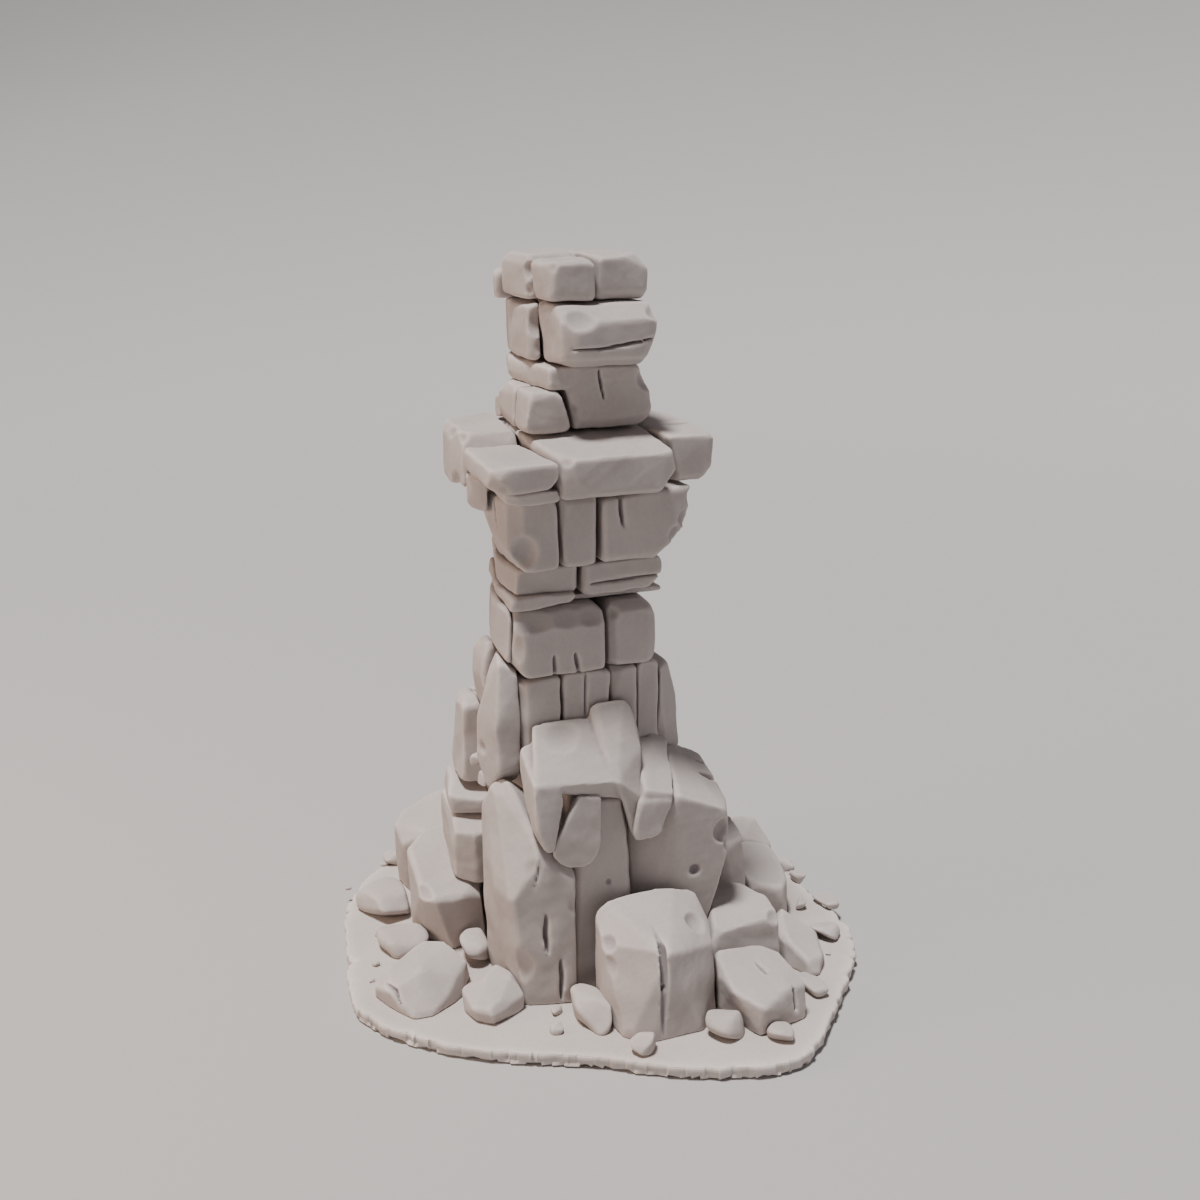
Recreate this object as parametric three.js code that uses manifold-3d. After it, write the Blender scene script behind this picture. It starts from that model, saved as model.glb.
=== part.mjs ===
// A stone cairn: a stacked column of roughly dressed blocks that rises out of a heap of boulders,
// all on one thin slab of rock with a chipped rim.
//
// Frame: millimetres, +Z up, +X to the right of the column's front face, -Y in front of it.
// The origin is the centre of the slab's underside.
import * as THREE from "three";
import { ConvexGeometry } from "three/addons/geometries/ConvexGeometry.js";
import { mergeVertices } from "three/addons/utils/BufferGeometryUtils.js";
import Module from "manifold-3d";

// ---- Driving dimensions ----

const JOINT = 0.4; // the gap that any two stones keep
const SLAB_THICKNESS = 30;
const SLAB_EDGE = 4; // bevel round the slab's rim
const SLAB_UNDERCUT = 12; // how far the rim leans in from its top edge to its foot
const FOOT_LEVEL = SLAB_THICKNESS; // where the heap of boulders stands

// The bed of each course of the column.
const LEVEL = {
  shelf: 330,
  knee: 480,
  hip: 697,
  waist: 832,
  chest: 915,
  shoulder: 1062,
  neck: 1168,
  brow: 1296,
  crown: 1414,
};

const STONE = { color: "#b3a9a4", roughness: 0.92, metalness: 0 };
const SLAB_STONE = { color: "#bfb6b0", roughness: 0.9, metalness: 0 };

// ---- Solids ----

const wasm = await Module();
wasm.setup();

const cairn = new THREE.Group();
const laid = []; // every convex lump that is already in place, with the planes of its faces

function solidFrom(geometry) {
  const bare = new THREE.BufferGeometry().setAttribute("position", geometry.getAttribute("position"));
  if (geometry.index) bare.setIndex(geometry.index);
  const merged = mergeVertices(bare, 1e-3);
  return new wasm.Manifold(
    new wasm.Mesh({
      numProp: 3,
      vertProperties: new Float32Array(merged.attributes.position.array),
      triVerts: new Uint32Array(merged.index.array),
    }),
  );
}

function geometryFrom(solid) {
  const mesh = solid.getMesh();
  const geometry = new THREE.BufferGeometry();
  geometry.setAttribute("position", new THREE.BufferAttribute(mesh.vertProperties, 3));
  geometry.setIndex(new THREE.BufferAttribute(mesh.triVerts, 1));
  geometry.computeVertexNormals();
  return geometry;
}

// The convex solid round a handful of corners. Each corner is [x, y, height above the bed].
function lumpFrom(bed, corners) {
  const points = corners.map(([x, y, height]) => new THREE.Vector3(x, y, bed + height));
  return solidFrom(new ConvexGeometry(points));
}

// The outward planes of a convex solid's faces.
function facePlanes(solid) {
  const mesh = solid.getMesh();
  const corner = (i) => new THREE.Vector3().fromArray(mesh.vertProperties, 3 * mesh.triVerts[i]);
  const planes = [];
  for (let i = 0; i < mesh.triVerts.length; i += 3) {
    const plane = new THREE.Plane().setFromCoplanarPoints(corner(i), corner(i + 1), corner(i + 2));
    const known = planes.some(
      (other) => other.normal.dot(plane.normal) > 0.9999 && Math.abs(other.constant - plane.constant) < 0.1,
    );
    if (!known) planes.push(plane);
  }
  return planes;
}

// Cuts a new lump back from every lump already laid, so that the joint between them stays open.
// A pair is parted along whichever face of the laid lump costs the new one least.
function dressed(lump) {
  for (const neighbour of laid) {
    if (lump.minGap(neighbour.solid, JOINT) >= JOINT - 1e-3) continue;
    const cuts = neighbour.planes.map((plane) =>
      lump.trimByPlane(plane.normal.toArray(), JOINT - plane.constant),
    );
    lump = cuts.reduce((best, cut) => (cut.volume() > best.volume() ? cut : best));
  }
  return lump;
}

// Sets one stone in place. It is one convex lump, or several that grow into each other.
function lay(name, bed, ...lumps) {
  const parts = lumps.map((corners) => dressed(lumpFrom(bed, corners)));
  parts.forEach((solid) => laid.push({ solid, planes: facePlanes(solid) }));
  const whole = parts.reduce((sum, solid) => sum.add(solid));
  const mesh = new THREE.Mesh(geometryFrom(whole), new THREE.MeshStandardMaterial(STONE));
  mesh.name = name;
  cairn.add(mesh);
}

// ---- The slab ----

// The rim as seen from above, anticlockwise from the left front.
const SLAB_RIM = [
  [-515, -174], [-466, -227], [-401, -286], [-316, -341], [-211, -389], [-140, -419], [-77, -466],
  [8, -512], [96, -545], [172, -562], [241, -551], [302, -503], [374, -420], [456, -332], [517, -249],
  [549, -181], [553, -105], [543, -8], [540, 90], [532, 190], [500, 300], [430, 405], [325, 490],
  [190, 545], [40, 562], [-120, 560], [-255, 540], [-358, 500], [-431, 430], [-488, 337], [-513, 237],
  [-533, 90], [-553, -25], [-549, -103],
];

// A closed plate through several levels of the same rim. Each level is [height, inset].
function plateFrom(rim, levels) {
  const reach = Math.max(...rim.map(([x, y]) => Math.hypot(x, y)));
  const outline = rim.map(([x, y]) => new THREE.Vector2(x, y));
  const cap = THREE.ShapeUtils.triangulateShape(outline, []);
  const count = rim.length;
  const last = count * (levels.length - 1);
  const positions = levels.flatMap(([height, inset]) =>
    rim.flatMap(([x, y]) => [x * (1 - inset / reach), y * (1 - inset / reach), height]),
  );
  const faces = cap.flatMap(([a, b, c]) => [a, c, b, last + a, last + b, last + c]);
  for (let start = 0; start < last; start += count) {
    for (let i = 0; i < count; i += 1) {
      const near = start + i;
      const next = start + ((i + 1) % count);
      faces.push(near, next, next + count, near, next + count, near + count);
    }
  }
  const plate = new THREE.BufferGeometry();
  plate.setAttribute("position", new THREE.Float32BufferAttribute(positions, 3));
  plate.setIndex(faces);
  return plate;
}

function laySlab() {
  const plate = plateFrom(SLAB_RIM, [
    [0, SLAB_UNDERCUT],
    [SLAB_THICKNESS / 2, SLAB_UNDERCUT / 3],
    [SLAB_THICKNESS - SLAB_EDGE, 0],
    [SLAB_THICKNESS, SLAB_EDGE],
  ]);
  const top = new THREE.Plane(new THREE.Vector3(0, 0, 1), -SLAB_THICKNESS);
  laid.push({ solid: solidFrom(plate), planes: [top] });
  const mesh = new THREE.Mesh(plate, new THREE.MeshStandardMaterial(SLAB_STONE));
  mesh.name = "base_slab";
  cairn.add(mesh);
}

// ---- The heap of boulders, front stones first, so that the ones behind are dressed to them ----

function layFrontBoulders() {
  lay("front_boulder", FOOT_LEVEL, [
    [-79, -228, 0], [-88, -300, 0], [-72, -388, 0], [-22, -411, 0], [80, -408, 0], [131, -358, 0],
    [150, -230, 0], [-90, -305, 172], [-38, -320, 186], [-12, -396, 192], [4, -412, 192],
    [54, -392, 178], [124, -348, 154], [142, -290, 168], [134, -236, 208], [94, -224, 226],
    [-8, -224, 228], [-66, -230, 224], [-86, -240, 200],
  ]);
  lay("front_right_block", FOOT_LEVEL, [
    [139, -346, 0], [179, -466, 0], [292, -438, 0], [304, -330, 0], [250, -294, 0], [152, -294, 0],
    [138, -346, 78], [142, -417, 80], [181, -472, 66], [240, -442, 80], [296, -424, 70],
    [286, -372, 88], [282, -325, 92], [250, -296, 98], [152, -294, 104],
  ]);
}

// The saddle stone is draped over the foot of the column: a sloping back with a raised lobe on
// the right, a lower lobe on the left, and a leg down each side of the arch in its front.
function laySaddle() {
  lay("saddle_stone", LEVEL.shelf,
    [
      [-172, -110, 273], [-50, -110, 276], [50, -110, 215], [-204, -225, 190], [-34, -226, 176],
      [24, -208, 121], [-150, -208, 160], [-16, -208, 146], [-172, -110, 160], [50, -110, 150],
    ],
    [
      [-52, -108, 294], [-40, -112, 302], [24, -108, 306], [38, -108, 292], [60, -108, 215],
      [-48, -165, 236], [-34, -226, 176], [38, -166, 212], [24, -208, 121], [-40, -108, 200],
      [46, -150, 170],
    ],
    [
      [-200, -114, 232], [-172, -114, 236], [-204, -225, 190], [-150, -226, 178], [-200, -230, 85],
      [-184, -232, 46], [-164, -230, 44], [-140, -224, 146], [-146, -180, 150], [-204, -130, 170],
      [-160, -190, 50], [-200, -190, 85],
    ],
    [
      [-34, -226, 176], [32, -208, 119], [30, -206, 60], [8, -214, 48], [-2, -216, 132],
      [48, -160, 150], [32, -165, 60], [8, -170, 54], [0, -160, 150],
    ],
  );
}

function layFootOfColumn() {
  lay("tongue_stone", LEVEL.shelf, [
    [-112, -224, 156], [-66, -224, 148], [-66, -224, 60], [-72, -224, 26], [-84, -224, 8],
    [-104, -222, 0], [-132, -222, 2], [-152, -224, 14], [-170, -222, 40], [-110, -201, 158],
    [-66, -201, 150], [-72, -201, 26], [-104, -201, 2], [-132, -201, 4], [-166, -201, 42],
  ]);
  lay("right_boulder", FOOT_LEVEL, [
    [103, -215, 418], [205, -213, 374], [217, -205, 366], [220, -213, 282], [157, -213, 166],
    [66, -206, 150], [12, -178, 229], [12, -160, 332], [137, -58, 470], [228, -32, 422],
    [233, -112, 390], [236, -160, 370], [234, -150, 270], [12, -192, 0], [140, -208, 0],
    [150, -60, 0], [12, -60, 0], [12, -60, 340], [228, -40, 180],
  ]);
  lay("wedge_stone", LEVEL.shelf,
    [
      [27, -222, 146], [90, -220, 128], [14, -222, 110], [50, -90, 200], [100, -80, 203],
      [130, -84, 186], [50, -90, 110], [112, -90, 110], [20, -222, 90], [84, -220, 90],
    ],
    [
      [16, -226, 126], [88, -224, 116], [62, -229, 50], [48, -230, 42], [6, -228, 40],
      [2, -226, 56], [20, -192, 120], [76, -198, 110], [58, -202, 52], [8, -190, 46],
    ],
  );
  lay("left_boulder", FOOT_LEVEL, [
    [-222, -207, 0], [-133, -230, 0], [-118, -224, 0], [-116, -70, 0], [-225, 20, 0],
    [-247, -27, 0], [-245, -100, 0], [-250, -213, 242], [-264, -150, 260], [-190, -224, 348],
    [-118, -222, 296], [-262, -52, 410], [-262, -50, 185], [-248, -88, 454], [-193, -98, 474],
    [-130, -100, 462], [-116, -150, 420],
  ]);
  lay("pillar_stone", FOOT_LEVEL, [
    [-111, -204, 0], [-94, -226, 0], [6, -224, 0], [8, -80, 0], [-111, -80, 0],
    [-111, -188, 290], [-92, -206, 290], [-60, -200, 455], [8, -200, 446], [-111, -180, 440],
    [8, -80, 446], [-111, -80, 446],
  ]);
}

function layLeftBoulders() {
  lay("left_outer_boulder", FOOT_LEVEL, [
    [-366, 193, 0], [-350, 120, 0], [-308, 51, 0], [-226, 77, 0], [-230, 260, 0], [-325, 280, 0],
    [-373, 55, 148], [-350, 34, 138], [-290, 38, 134], [-243, 54, 120], [-368, 210, 182],
    [-315, 281, 184], [-240, 285, 184], [-238, 90, 150], [-368, 160, 60],
  ]);
  lay("left_rear_boulder", FOOT_LEVEL, [
    [-352, 398, 0], [-335, 330, 0], [-300, 290, 0], [-215, 290, 0], [-190, 460, 0], [-290, 478, 0],
    [-359, 385, 156], [-338, 415, 170], [-238, 450, 196], [-200, 440, 200], [-240, 290, 180],
    [-300, 292, 166], [-354, 325, 130],
  ]);
  lay("left_prop", FOOT_LEVEL, [
    [-288, 80, 140], [-248, 56, 140], [-206, 56, 140], [-206, 240, 140], [-276, 240, 140],
    [-294, 78, 250], [-290, 74, 268], [-252, 50, 268], [-206, 52, 272], [-284, 112, 297],
    [-206, 112, 298], [-276, 240, 298], [-206, 240, 298],
  ]);
  lay("left_upper_prop", FOOT_LEVEL, [
    [-290, 100, 300], [-234, 78, 300], [-206, 72, 300], [-206, 245, 300], [-268, 245, 300],
    [-294, 102, 342], [-236, 76, 334], [-206, 74, 334], [-274, 148, 356], [-268, 188, 360],
    [-206, 186, 362], [-262, 245, 354], [-206, 245, 356],
  ]);
}

function layRightBoulders() {
  lay("right_block", FOOT_LEVEL, [
    [155, -286, 0], [319, -272, 0], [336, -180, 0], [300, -108, 0], [158, -108, 0],
    [158, -268, 120], [293, -250, 140], [315, -262, 134], [318, -198, 146], [290, -137, 147],
    [245, -112, 148], [158, -112, 156], [158, -190, 148],
  ]);
  lay("right_tall_block", FOOT_LEVEL, [
    [242, -98, 0], [318, -95, 0], [352, -38, 0], [350, 70, 0], [242, 70, 0],
    [242, -98, 225], [262, -104, 222], [318, -70, 220], [340, 30, 222], [332, 66, 205], [242, 66, 240],
  ]);
  lay("right_rear_block", FOOT_LEVEL, [
    [356, -52, 0], [428, -88, 0], [458, -20, 0], [474, 110, 0], [356, 135, 0],
    [356, -50, 88], [411, -89, 86], [444, -47, 88], [460, -3, 90], [473, 116, 92],
    [426, 138, 94], [356, 125, 96],
  ]);
  lay("right_far_block", FOOT_LEVEL, [
    [418, 142, 0], [500, 130, 0], [522, 180, 0], [505, 250, 0], [430, 262, 0],
    [424, 144, 98], [445, 232, 112], [488, 217, 110], [500, 140, 68], [515, 185, 60], [430, 250, 100],
  ]);
  lay("right_low_stone", FOOT_LEVEL, [
    [414, -92, 0], [465, -155, 0], [433, -253, 0], [387, -319, 0], [366, -310, 0], [342, -250, 0],
    [342, -110, 0], [362, -175, 62], [344, -232, 58], [440, -198, 34], [408, -288, 32], [365, -300, 36],
    [395, -120, 56],
  ]);
}

function layBackBoulders() {
  lay("back_left_core", FOOT_LEVEL, [
    [-222, 40, 0], [-100, -68, 0], [6, -68, 0], [6, 275, 0], [-190, 285, 0],
    [-226, 40, 430], [-100, -68, 446], [6, -68, 446], [6, 230, 440], [-180, 230, 400], [-205, 180, 400],
  ]);
  lay("back_right_core", FOOT_LEVEL, [
    [7, -58, 0], [225, -40, 0], [240, 75, 0], [225, 240, 0], [7, 275, 0],
    [7, -58, 446], [160, -50, 440], [205, 20, 400], [190, 160, 360], [7, 230, 440],
  ]);
  lay("back_boulder", FOOT_LEVEL, [
    [-185, 300, 0], [-20, 287, 0], [70, 290, 0], [95, 420, 0], [10, 478, 0], [-150, 462, 0],
    [-170, 300, 235], [-30, 288, 290], [60, 292, 250], [70, 400, 180], [-10, 440, 200], [-140, 425, 190],
  ]);
  lay("back_right_boulder", FOOT_LEVEL, [
    [102, 290, 0], [243, 75, 0], [352, 78, 0], [414, 150, 0], [400, 290, 0], [250, 400, 0], [120, 420, 0],
    [110, 292, 190], [243, 90, 225], [345, 90, 185], [385, 160, 140], [370, 270, 120], [240, 370, 130],
    [130, 380, 140],
  ]);
}

// ---- The column, course by course ----

function layKnee() {
  lay("knee_front_left", LEVEL.knee, [
    [-190, -90, 0], [-176, -104, 0], [-108, -104, 0], [-108, 182, 0], [-186, 160, 0],
    [-190, -86, 208], [-178, -105, 204], [-108, -105, 212], [-108, 172, 214], [-186, 150, 212],
  ]);
  lay("knee_front_middle", LEVEL.knee, [
    [-102, -102, 0], [-4, -102, 0], [-4, 204, 0], [-102, 194, 0], [-50, 210, 110],
    [-102, -104, 214], [-4, -104, 212], [-4, 192, 214], [-102, 186, 214],
  ]);
  lay("knee_front_right", LEVEL.knee, [
    [2, -98, 0], [58, -98, 0], [58, 196, 0], [2, 210, 0],
    [2, -90, 212], [26, -100, 210], [58, -100, 214], [58, 182, 216], [2, 200, 214],
    [2, -100, 130],
  ]);
  lay("knee_right", LEVEL.knee, [
    [64, -88, -20], [112, -84, -20], [120, 150, -20], [64, 190, -20],
    [64, -90, 212], [104, -90, 212], [112, -82, 204], [118, 150, 200], [64, 176, 214],
  ]);
  lay("knee_right_buttress", LEVEL.knee, [
    [118, -78, -10], [186, -20, -20], [186, 80, -20], [122, 150, -20],
    [118, -74, 190], [150, -30, 188], [166, 0, 165], [187, 10, 100], [187, 60, 100],
    [150, 110, 180], [122, 150, 180],
  ]);
  lay("knee_left_upright", FOOT_LEVEL, [
    [-250, -60, 425], [-236, -102, 440], [-184, -106, 440], [-184, 38, 430], [-228, 38, 425],
    [-229, -80, 702], [-218, -42, 690], [-190, -90, 678], [-184, -60, 668], [-184, 38, 668],
    [-198, 38, 688], [-238, -40, 660], [-196, -95, 650], [-222, -100, 612], [-242, -100, 578],
    [-260, -30, 578], [-266, -30, 486], [-234, 38, 560], [-238, -92, 462], [-184, -98, 600],
  ]);
  lay("knee_left_back", FOOT_LEVEL, [
    [-202, 42, 440], [-190, 42, 440], [-190, 170, 440], [-200, 150, 440],
    [-228, 50, 622], [-222, 60, 656], [-208, 58, 694], [-186, 60, 684], [-186, 150, 684],
    [-216, 150, 660], [-226, 140, 612],
  ]);
  lay("knee_outer_left", FOOT_LEVEL, [
    [-260, 104, 366], [-206, 92, 366], [-206, 215, 366], [-262, 195, 368],
    [-256, 108, 542], [-250, 104, 520], [-238, 148, 550], [-206, 152, 555], [-206, 100, 536],
    [-206, 210, 550], [-242, 200, 542], [-256, 160, 534],
  ]);
}

function layHip() {
  lay("hip_front", LEVEL.hip, [
    [-194, -106, 2], [-182, -110, 0], [-14, -110, 2], [-13, -112, 90], [-32, -108, 118],
    [-200, -100, 108], [-192, -112, 90], [-160, -114, 100], [-60, -114, 106], [-203, -92, 70],
    [-196, -80, 132], [-36, -78, 134], [-14, -84, 122], [-162, 186, 4], [-14, 194, 0],
    [-158, 190, 128], [-14, 202, 126], [-204, -80, 14], [-90, 212, 62],
  ]);
  lay("hip_right", LEVEL.hip, [
    [-2, -90, 0], [14, -100, 2], [84, -100, 0], [97, -90, 10], [98, -92, 96], [86, -98, 116],
    [12, -100, 110], [-2, -88, 116], [10, -74, 132], [74, -74, 132], [100, -60, 112],
    [-2, 196, 0], [94, 188, 4], [96, 180, 118], [-2, 200, 128], [48, 212, 64],
  ]);
  lay("hip_left", LEVEL.hip, [
    [-214, -92, 30], [-206, -94, 130], [-214, 25, 40], [-210, 25, 128], [-211, -50, 136],
    [-180, 150, 30], [-178, 150, 128], [-202, -90, 26], [-172, 150, 20], [-170, 150, 132],
    [-198, -80, 134],
  ]);
}

function layWaist() {
  lay("waist_shim", LEVEL.waist, [
    [-206, -94, 2], [-190, -98, 0], [-130, -98, 3], [-84, -98, 10], [-72, -96, 22],
    [-204, -98, 24], [-72, -100, 26], [-206, 20, 14], [-204, 20, 28], [-72, 40, 26], [-72, 40, 4],
    [-166, 200, 2], [-160, 208, 24], [-72, 210, 4], [-72, 206, 26],
  ]);
  lay("waist_bed", LEVEL.waist, [
    [-68, -58, 0], [120, -58, 0], [128, -50, 0], [128, -50, 8], [112, -58, 12], [-68, -58, 12],
    [-68, 192, 0], [112, 180, 0], [116, 186, 14], [-68, 200, 14],
  ]);
  lay("waist_left", LEVEL.waist, [
    [-194, -84, 30], [-182, -86, 30], [-66, -86, 27], [-64, -86, 82], [-190, -86, 82],
    [-200, 20, 32], [-200, 20, 82], [-64, 192, 30], [-64, 200, 82], [-156, 190, 30], [-158, 196, 82],
  ]);
  lay("waist_right", LEVEL.waist, [
    [-55, -86, 18], [-40, -84, 15], [84, -86, 18], [-56, -90, 40], [112, -86, 44], [117, -80, 62],
    [112, -84, 82], [-52, -88, 80], [-56, 206, 16], [96, 190, 18], [106, 184, 82], [-56, 198, 82],
  ]);
}

function layChest() {
  lay("chest_left", LEVEL.chest, [
    [-178, -114, 0], [-150, -114, -2], [-109, -114, 0], [-118, -115, 140], [-183, -115, 140],
    [-214, -95, 140], [-214, -95, 42], [-230, -10, 88], [-230, -10, 146], [-108, 0, 0],
    [-116, 0, 146], [-190, -10, 4],
  ]);
  lay("chest_middle", LEVEL.chest, [
    [-98, -108, -4], [-34, -108, 2], [-31, -108, 124], [-107, -108, 126], [-98, 186, 0],
    [-31, 190, 0], [-31, 196, 146], [-107, 184, 146], [-107, -96, 146], [-31, -96, 146],
  ]);
  lay("chest_right", LEVEL.chest, [
    [-14, -112, 12], [90, -108, 8], [103, -112, 20], [143, -110, 44], [163, -102, 82],
    [164, -104, 140], [160, -112, 146], [-22, -112, 130], [-22, -104, 4], [90, -100, 2],
    [-24, 206, 0], [84, 196, 6], [144, 180, 80], [150, 184, 142], [-24, 198, 146], [58, 216, 72],
  ]);
  lay("chest_back_left", LEVEL.chest, [
    [-194, 4, 4], [-112, 4, 0], [-112, 206, 4], [-160, 192, 4], [-224, 10, 100], [-222, 10, 146],
    [-112, 10, 146], [-112, 196, 146], [-192, 186, 142], [-186, 194, 84],
  ]);
}

function layShoulders() {
  lay("shoulder_centre", LEVEL.shoulder, [
    [-105, -170, 78], [92, -170, 80], [108, -164, 44], [78, -170, 8], [-47, -170, 7],
    [-98, -170, 38], [-114, -152, 0], [-50, -152, -1], [75, -155, 0], [-118, -160, 76],
    [-118, -160, 34], [100, -158, 84], [-152, -30, 98], [-150, 60, 102], [96, -20, 102],
    [96, 120, 104], [-150, 120, 104], [-118, 120, 0], [96, 120, 0], [108, -60, 40],
  ]);
  lay("shoulder_front_left", LEVEL.shoulder, [
    [-219, -165, 72], [-120, -165, 72], [-120, -165, 46], [-142, -165, 24], [-223, -165, 22],
    [-255, -150, 66], [-240, -163, 51], [-258, -148, 55], [-262, -140, 33], [-233, -152, 18],
    [-264, 14, 78], [-264, 14, 44], [-150, 14, 80], [-150, 14, 24], [-228, 0, 22],
  ]);
  lay("shoulder_shim", LEVEL.shoulder, [
    [-226, -134, 18], [-206, -146, 12], [-112, -146, 18], [-108, -140, 4], [-125, -138, -12],
    [-190, -136, -14], [-222, -128, -4], [-226, 0, 18], [-122, 0, 18], [-122, 0, 0], [-214, 0, 0],
  ]);
  lay("shoulder_right", LEVEL.shoulder, [
    [114, -110, 99], [198, -110, 95], [213, -100, 96], [213, -100, 28], [196, -110, 18],
    [138, -110, 14], [138, -96, 4], [186, -96, 4], [100, -14, 101], [204, -4, 100],
    [212, -30, 90], [208, -6, 30], [110, -6, 4],
  ]);
  lay("shoulder_left", LEVEL.shoulder, [
    [-266, 18, -20], [-262, 16, 60], [-258, 36, 100], [-150, 16, 80], [-150, 36, 102],
    [-270, 150, -14], [-270, 150, 88], [-254, 175, 106], [-150, 225, 108], [-150, 225, 0],
    [-240, 210, 0], [-156, 18, -2],
  ]);
  lay("shoulder_left_prop", LEVEL.shoulder, [
    [-264, 12, 34], [-262, 12, -36], [-252, -50, 44], [-238, -62, 44], [-236, -60, -14],
    [-240, 8, -44], [-232, -40, -40], [-232, 10, 40],
  ]);
  lay("shoulder_back_right", LEVEL.shoulder, [
    [100, 0, 0], [206, 2, 20], [212, 60, 24], [206, 130, 20], [100, 225, 0],
    [100, 0, 103], [208, 2, 100], [214, 60, 98], [206, 136, 96], [180, 150, 103], [100, 225, 103],
  ]);
  lay("shoulder_back", LEVEL.shoulder, [
    [-146, 124, 0], [96, 124, 0], [96, 236, 4], [-146, 222, 0], [-30, 246, 46],
    [-146, 124, 104], [96, 124, 104], [96, 224, 100], [-146, 230, 96],
  ]);
}

function layNeck() {
  lay("neck_beam", LEVEL.neck,
    [
      [-106, -45, 82], [-106, -45, 126], [76, -45, 122], [80, -45, 100], [-131, 140, 84],
      [-135, 132, 98], [-131, 140, 122], [76, 190, 126], [76, 190, 82], [-120, 190, 126],
      [-116, 190, 84], [-70, -45, 80],
    ],
    [
      [-72, -45, 84], [-44, -46, 22], [-52, -34, 2], [80, -34, 2], [109, -44, 26], [99, -45, 76],
      [76, -45, 122], [72, 190, 124], [104, 190, 60], [96, 190, 2], [-50, 190, 2], [-72, 190, 84],
    ],
  );
  lay("neck_corner", LEVEL.neck, [
    [-140, -44, 0], [-62, -44, 0], [-62, -50, 10], [-156, -48, 8], [-146, -48, 66], [-84, -50, 78],
    [-144, -38, 80], [-84, -38, 81], [-158, 30, 6], [-150, 30, 80], [-152, 30, 0], [-62, 30, 0],
    [-84, 30, 81],
  ]);
  lay("neck_left", LEVEL.neck, [
    [-156, 34, 0], [-152, 34, 74], [-146, 34, 81], [-152, 110, 0], [-150, 110, 60], [-142, 100, 81],
    [-60, 34, 0], [-90, 34, 81], [-60, 190, 0], [-90, 190, 81], [-150, 150, 0], [-150, 150, 56],
    [-130, 190, 56], [-130, 190, 0],
  ]);
}

function layBrow() {
  lay("brow_front", LEVEL.brow, [
    [-66, -92, 30], [-66, -92, 85], [88, -92, 88], [102, -80, 84], [98, -80, 56], [86, -78, 20],
    [-92, -78, 16], [-93, -78, 84], [-92, -50, 112], [-62, -58, -2], [74, -58, -2], [93, -46, 115],
    [-98, 0, 2], [-106, 12, 108], [-60, 188, 2], [86, 198, 0], [90, 202, 106], [-60, 196, 112],
    [12, 212, 54],
    [-100, -20, 114], [70, -88, 14], [-64, -88, 14],
  ]);
  lay("brow_left", LEVEL.brow, [
    [-123, 30, 6], [-101, 12, 2], [-124, 30, 60], [-122, 34, 106], [-102, 14, 90], [-104, 20, 110],
    [-128, 112, 2], [-130, 112, 102], [-120, 190, 0], [-120, 190, 108], [-64, 190, 0], [-64, 190, 108],
  ]);
}

function layCrown() {
  lay("crown_front", LEVEL.crown, [
    [-94, -50, 70], [-14, -50, 73], [-12, -50, 8], [-100, -50, 14], [-104, -44, 4], [-14, -44, 0],
    [-113, -15, 70], [-113, -18, 40], [-117, 20, 4], [-114, 40, 68], [-12, 40, 76], [-12, 40, 0],
    [-92, -40, 76], [-14, -40, 78], [-104, 30, 76],
  ]);
  lay("crown_left", LEVEL.crown, [
    [-118, 43, 0], [-12, 43, 0], [-132, 88, -1], [-144, 130, 4], [-143, 130, 70], [-126, 118, 86],
    [-118, 43, 64], [-112, 56, 82], [-30, 58, 86], [-14, 43, 76], [-138, 150, 4], [-134, 150, 72],
    [-14, 150, 86], [-14, 150, 0], [-120, 150, 84],
  ]);
  lay("crown_right", LEVEL.crown, [
    [-2, -40, 16], [-2, -40, 78], [44, -40, 82], [98, -34, 58], [96, -34, 16], [84, -40, 16],
    [-8, -28, 2], [88, -26, 0], [-8, -22, 84], [72, -22, 86], [100, -10, 60], [-8, 194, 2],
    [86, 186, 0], [-8, 204, 78], [68, 194, 82], [94, 192, 56], [92, 182, 14], [102, 60, 40],
  ]);
  lay("crown_back", LEVEL.crown, [
    [-153, 152, 38], [-150, 152, -14], [-140, 152, 52], [-120, 152, -32], [-12, 152, 60],
    [-12, 152, 0], [-140, 212, 44], [-138, 212, -8], [-14, 206, 60], [-12, 206, 0],
  ]);
}

// ---- Loose stones that lie on the slab round the heap ----

function layLooseStones() {
  lay("loose_left_stone", FOOT_LEVEL, [
    [-504, -66, 0], [-479, -128, 0], [-440, -190, 0], [-403, -189, 0], [-331, -129, 0],
    [-300, -60, 0], [-330, 0, 0], [-450, -20, 0], [-507, -80, 32], [-484, -132, 46], [-472, -60, 60],
    [-385, -10, 76], [-345, -30, 74], [-314, -90, 56], [-340, -120, 50], [-420, -120, 72],
  ]);
  lay("loose_front_stone", FOOT_LEVEL, [
    [-327, -118, 0], [-345, -180, 0], [-330, -226, 0], [-304, -250, 0], [-240, -222, 0],
    [-226, -208, 0], [-248, -120, 0], [-344, -160, 40], [-338, -236, 34], [-306, -262, 36],
    [-228, -216, 34], [-262, -130, 62], [-234, -160, 56], [-300, -180, 66], [-250, -190, 64],
  ]);
}

laySlab();
layFrontBoulders();
laySaddle();
layFootOfColumn();
layLeftBoulders();
layRightBoulders();
layKnee();
layHip();
layWaist();
layChest();
layShoulders();
layNeck();
layBrow();
layCrown();
layBackBoulders();
layLooseStones();

export default cairn;
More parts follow.
